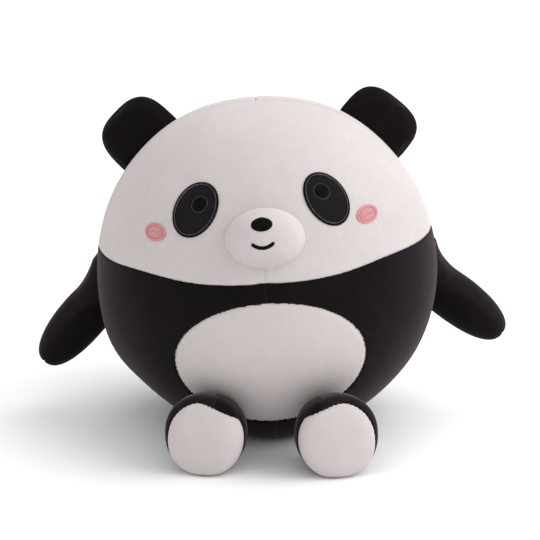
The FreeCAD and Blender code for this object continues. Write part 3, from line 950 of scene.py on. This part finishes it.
# %% Ears
EARS = {
    "left": {"side": -1, "turn": 0.7, "half_width": 30.6 * MM, "top": 168.1 * MM},
    "right": {"side": 1, "turn": -2.4, "half_width": 31.7 * MM, "top": 164.1 * MM},
}
EAR_MIDDLE = 136.5 * MM
EAR_HALF_THICKNESS = 9.0 * MM
EAR_SQUARENESS = 2.75
EAR_SPREAD = 1.6 * MM
EAR_SPREAD_FROM = 0.5
EAR_SPREAD_POWER = 1.3
EAR_BEND_SINK = 1.0 * MM


def rim_seam(p):
    return p.y


for hand, form in EARS.items():
    pivot, _ = hinge(f"ear_{hand}_fold")
    pointing = (pivot - BALL_MIDDLE).normalized()
    pointing.rotate(Matrix.Rotation(math.radians(-form["turn"]), 3, "Y"))
    backward = (Vector((0, 1, 0)) - pointing * pointing.y).normalized()
    sideways = backward.cross(pointing)
    axes = Matrix((sideways, backward, pointing)).transposed().to_4x4()
    place = Matrix.Translation(BALL_MIDDLE + pointing * EAR_MIDDLE) @ axes
    ear = bmesh.new()
    bmesh.ops.create_icosphere(ear, subdivisions=6, radius=1.0)
    for vert in ear.verts:
        x, y, z = vert.co
        flat = math.hypot(x, z)
        square = power_radius(x / flat, z / flat, EAR_SQUARENESS) if flat > 0 else 1.0
        inner = max(0.0, -form["side"] * x) * max(0.0, EAR_SPREAD_FROM - z) ** EAR_SPREAD_POWER
        vert.co = Vector((
            x * square * form["half_width"] - form["side"] * inner * EAR_SPREAD,
            y * EAR_HALF_THICKNESS,
            z * square * (form["top"] - EAR_MIDDLE),
        ))
    stuff(
        f"ear_{hand}_form", ear, pressure=6.0, steps=14, cap=2.0 * MM, seam=rim_seam, draw=0.07
    )
    pieces = limb_panels(
        ear, place, [(rim_seam, everywhere)],
        {
            f"ear_{hand}_front_cloth": (BLACK, lambda p: rim_seam(p) < 0),
            f"ear_{hand}_back_cloth": (BLACK, lambda p: rim_seam(p) > 0),
        }, GROOVE_DEPTH,
    )
    start = BALL_MIDDLE + pointing * (BALL_RADIUS - EAR_BEND_SINK)
    end = pivot + pointing * BEND_REACH
    front, rear = pieces.values()
    bends(front, f"ear_{hand}", start, end, f"ear_{hand}_front", f"ear_{hand}_stuffing")
    bends(rear, f"ear_{hand}", start, end, f"ear_{hand}_back")

# %% [markdown]
# An arm is a flipper: broad where it is sewn on, a little narrower towards a round tip, and
# flatter from front to back than it is wide. Its upper edge flares where it runs into the ball.
# Its upper and lower panels meet in a seam that runs along its front, round the tip and back
# along its rear, bowed up a little in the middle of its length.

# %% Arms
ARMS = {
    "left": {
        "side": -1, "droop": 46.0, "raised": 3.8 * MM, "half_width": 19.7 * MM,
        "tip": 53.7 * MM, "flare": 1.9 * MM,
    },
    "right": {
        "side": 1, "droop": 42.2, "raised": -2.2 * MM, "half_width": 18.7 * MM,
        "tip": 53.2 * MM, "flare": 3.7 * MM,
    },
}
ARM_BACK = -46.0 * MM
ARM_TAPER_FROM = -6.0 * MM
ARM_FLATNESS = 0.78
ARM_SQUARENESS = 2.5
FLARE_FROM = -7.0 * MM
FLARE_LENGTH = 20.0 * MM
FLARE_END = 1.5
ARM_SEAM_RISE = 8.0 * MM
ARM_SEAM_TOP = 18.0 * MM
ARM_SEAM_REACH = 38.0 * MM
ARM_BEND_BACK = 16.0 * MM

for hand, form in ARMS.items():
    pivot, _ = hinge(f"arm_{hand}_raise")
    droop = math.radians(form["droop"])
    pointing = BALL.to_3x3() @ Vector((form["side"] * math.cos(droop), 0, -math.sin(droop)))
    backward = Vector((0, 1, 0))
    upward = backward.cross(pointing) * form["side"]
    upward = upward if upward.z > 0 else -upward
    axes = Matrix((upward, backward, pointing)).transposed().to_4x4()
    place = Matrix.Translation(pivot) @ axes
    arm = bmesh.new()
    bmesh.ops.create_icosphere(arm, subdivisions=6, radius=1.0)
    for vert in arm.verts:
        x, y, z = vert.co
        ring = max(1e-6, math.hypot(x, y))
        along = ARM_BACK + (form["tip"] - ARM_BACK) * (z + 1) / 2
        t = max(0.0, (along - ARM_TAPER_FROM) / (form["tip"] - ARM_TAPER_FROM))
        half = form["half_width"] * max(0.0, 1 - t ** ARM_SQUARENESS) ** (1 / ARM_SQUARENESS)
        rooted = min(FLARE_END, max(0.0, (FLARE_FROM - along) / FLARE_LENGTH))
        flare = form["flare"] * rooted ** 2 * max(0.0, x / ring)
        vert.co = Vector((
            x / ring * half + flare + form["raised"],
            y / ring * half * ARM_FLATNESS,
            along,
        ))

    def length_seam(p):
        """Above zero on the upper panel."""
        bow = 1 - ((p.z - ARM_SEAM_TOP) / ARM_SEAM_REACH) ** 2
        return p.x - form["raised"] - ARM_SEAM_RISE * max(-1.0, bow)

    stuff(
        f"arm_{hand}_form", arm, pressure=5.0, steps=12, cap=1.6 * MM, seam=length_seam, draw=0.02
    )
    pieces = limb_panels(
        arm, place, [(length_seam, everywhere)],
        {
            # the upper panel is made of the lit copy of the black: painted light
            f"arm_{hand}_upper_cloth": (PAINTED_LIT_BLACK, lambda p: length_seam(p) > 0),
            f"arm_{hand}_lower_cloth": (BLACK, lambda p: length_seam(p) < 0),
        }, GROOVE_DEPTH,
    )
    start = pivot - pointing * ARM_BEND_BACK
    end = pivot + pointing * BEND_REACH
    upper, lower = pieces.values()
    bends(upper, f"arm_{hand}", start, end, f"arm_{hand}_upper", f"arm_{hand}_stuffing")
    bends(lower, f"arm_{hand}", start, end, f"arm_{hand}_lower")

# %% [markdown]
# A foot is a short stuffed boot: two black panels that meet in a seam over the top, closed in
# front by a white sole. The sole is nearly as wide as the foot and reaches the floor. Its upper
# edge slants down towards the outside of the toy, and its stitches make that edge wave a little.

# %% Feet
FEET = {
    "left": {
        "side": -1, "half_width": 29.2 * MM, "top": 28.2 * MM, "forward": 0.0,
        "seam": 8.5 * MM, "slant": 22.1 * MM,
    },
    "right": {
        "side": 1, "half_width": 29.5 * MM, "top": 29.3 * MM, "forward": 4.0 * MM,
        "seam": 12.5 * MM, "slant": 24.0 * MM,
    },
}
FOOT_BOTTOM = 32.0 * MM
FOOT_BACK = 33.0 * MM
FOOT_SEAT_SOFTNESS = 1.6 * MM
SOLE_FRONT = 15.0 * MM
SOLE_SEAM = 7.0 * MM
SOLE_WAVE = 0.16 * MM
SOLE_WAVES = 42
SOLE_CROWN = 1.6 * MM
SOLE_TURN = 0.18
SOLE_LIFT = 0.15
SOLE_SLANT = Vector((0.386, 0.923))
SLANT_ROUNDING = 3.0 * MM
FOOT_TILT = math.radians(-8.0)
FOOT_SQUARENESS = 2.15
FRONT_SQUARENESS = 4.5
BACK_SQUARENESS = 2.2
FOOT_BEND_BACK = 24.0 * MM
FOOT_BEND_FRONT = 2.0 * MM

for hand, form in FEET.items():
    side = form["side"]
    pivot, turn_axis = hinge(f"foot_{hand}_lift")
    sideways = -turn_axis
    level = Matrix((sideways, Vector((0, 0, 1)).cross(sideways), Vector((0, 0, 1)))).transposed()
    middle = pivot + level @ Vector((0, -form["forward"], 0))
    place = Matrix.Translation(middle) @ (level @ Matrix.Rotation(FOOT_TILT, 3, "X")).to_4x4()
    foot = bmesh.new()
    bmesh.ops.create_icosphere(foot, subdivisions=6, radius=1.0)
    for vert in foot.verts:
        x, y, z = vert.co
        around = max(1e-6, math.hypot(x, z))
        section = around / power_radius(x / around, z / around, FOOT_SQUARENESS)
        if y < 0:
            power, length = FRONT_SQUARENESS, SOLE_FRONT
        else:
            power, length = BACK_SQUARENESS, FOOT_BACK
        out = power_radius(section, y, power)
        height = form["top"] if z > 0 else FOOT_BOTTOM
        vert.co = Vector((x * out * form["half_width"], y * out * length, z * out * height))
        if y < 0:
            vert.co.y -= SOLE_CROWN * (1 - min(1.0, section * out) ** 2)
        spot = place @ vert.co
        spot.z = 0.5 * (spot.z + math.hypot(spot.z, FOOT_SEAT_SOFTNESS))
        vert.co = place.inverted() @ spot

    def sole_edge(p):
        """Below zero on the sole: in front of its side edge and under its slanted top edge."""
        front = p.y + SOLE_SEAM + SOLE_TURN * side * p.x + SOLE_LIFT * p.z
        slant = SOLE_SLANT.x * -side * p.x + SOLE_SLANT.y * p.z - form["slant"]
        rounded = 0.5 * (front + slant + math.hypot(front - slant, SLANT_ROUNDING))
        return rounded + SOLE_WAVE * math.sin(SOLE_WAVES * math.atan2(p.z, p.x))

    def top_seam(p):
        """Above zero on the outer panel."""
        return p.x * side + form["seam"]

    def on_upper(p):
        return sole_edge(p) > 0

    stuff(
        f"foot_{hand}_form", foot, pressure=4.0, steps=10, cap=1.2 * MM, seam=sole_edge, draw=0.05
    )
    pieces = limb_panels(
        foot, place,
        [(sole_edge, everywhere), (top_seam, on_upper)],
        {
            f"foot_{hand}_sole_cloth": (WHITE, lambda p: sole_edge(p) < 0),
            f"foot_{hand}_inner_cloth": (BLACK, lambda p: on_upper(p) and top_seam(p) < 0),
            # the outer panel is made of the lit copy of the black: painted light
            f"foot_{hand}_outer_cloth": (PAINTED_LIT_BLACK, lambda p: on_upper(p) and top_seam(p) > 0),
        }, SOLE_GROOVE_DEPTH,
    )
    forward = place.to_3x3() @ Vector((0, -1, 0))
    start = pivot - forward * FOOT_BEND_BACK
    end = pivot - forward * FOOT_BEND_FRONT
    sole, inner, outer = pieces.values()
    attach(sole, f"foot_{hand}")
    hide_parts(f"foot_{hand}_sole", f"foot_{hand}_stuffing")
    bends(inner, f"foot_{hand}", start, end, f"foot_{hand}_upper_inner")
    bends(outer, f"foot_{hand}", start, end, f"foot_{hand}_upper_outer")

# %% [markdown]
# ## Stage
#
# A pale floor that runs out of sight, and a bright white surround that gives most of the light.
# A large soft lamp from the right models the ball, and a weaker one from behind on the right
# lights the edges. The camera looks down at the toy a little from a distance, so that the ball
# stays round.

# %% Floor and light
FLOOR_HALF = 6.0
floor_bm = bmesh.new()
bmesh.ops.create_grid(floor_bm, x_segments=1, y_segments=1, size=FLOOR_HALF)
paper = bpy.data.materials.new("pale_floor")
paper.use_nodes = True
paper_shader = paper.node_tree.nodes["Principled BSDF"]
paper_shader.inputs["Base Color"].default_value = (0.93, 0.93, 0.935, 1)
paper_shader.inputs["Roughness"].default_value = 0.95
floor = finished("floor", floor_bm, paper)
floor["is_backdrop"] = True

LAMP_DISTANCE = 2.8
LAMP_SIZE = 2.5
LAMP_AIM = Vector((0, 0, 0.1))


def lamp(name, azimuth, elevation, power):
    """A round soft lamp, azimuth degrees to the right of the front and elevation degrees up."""
    out = outward(azimuth, elevation)
    light = bpy.data.lights.new(name, "AREA")
    light.shape = "DISK"
    light.size = LAMP_SIZE
    light.energy = power
    holder = bpy.data.objects.new(name, light)
    bpy.context.scene.collection.objects.link(holder)
    holder.location = LAMP_AIM + out * LAMP_DISTANCE
    holder.rotation_euler = out.to_track_quat("Z", "Y").to_euler()


lamp("side_lamp", azimuth=80, elevation=36, power=44.0)
lamp("rear_lamp", azimuth=150, elevation=55, power=27.0)
world = bpy.data.worlds.new("surround")
world.use_nodes = True
world.node_tree.nodes["Background"].inputs["Color"].default_value = (1.0, 1.0, 1.0, 1.0)
world.node_tree.nodes["Background"].inputs["Strength"].default_value = 0.96
bpy.context.scene.world = world
bpy.context.scene.view_settings.view_transform = "Standard"

# %% Camera
CAMERA_DISTANCE = 1.5
CAMERA_ELEVATION = math.radians(15.0)
CAMERA_WIDTH = math.radians(15.78)
CAMERA_SHIFT = (1 / 180, -1 / 90)

lens = bpy.data.cameras.new("camera")
lens.sensor_fit = "HORIZONTAL"
lens.angle = CAMERA_WIDTH
camera = bpy.data.objects.new("camera", lens)
bpy.context.scene.collection.objects.link(camera)
back = Vector((0, -math.cos(CAMERA_ELEVATION), math.sin(CAMERA_ELEVATION)))
camera.location = BALL_MIDDLE + back * CAMERA_DISTANCE
camera.rotation_euler = (-back).to_track_quat("-Z", "Y").to_euler()
lens.shift_x, lens.shift_y = CAMERA_SHIFT
bpy.context.scene.camera = camera

# %% Sizes and finish
visual_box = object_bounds()
sizes = {
    "cad": [list(map(float, corner)) for corner in cad_box],
    "visual": [list(map(float, corner)) for corner in visual_box],
}
print("cad box", sizes["cad"], "visual box", sizes["visual"])
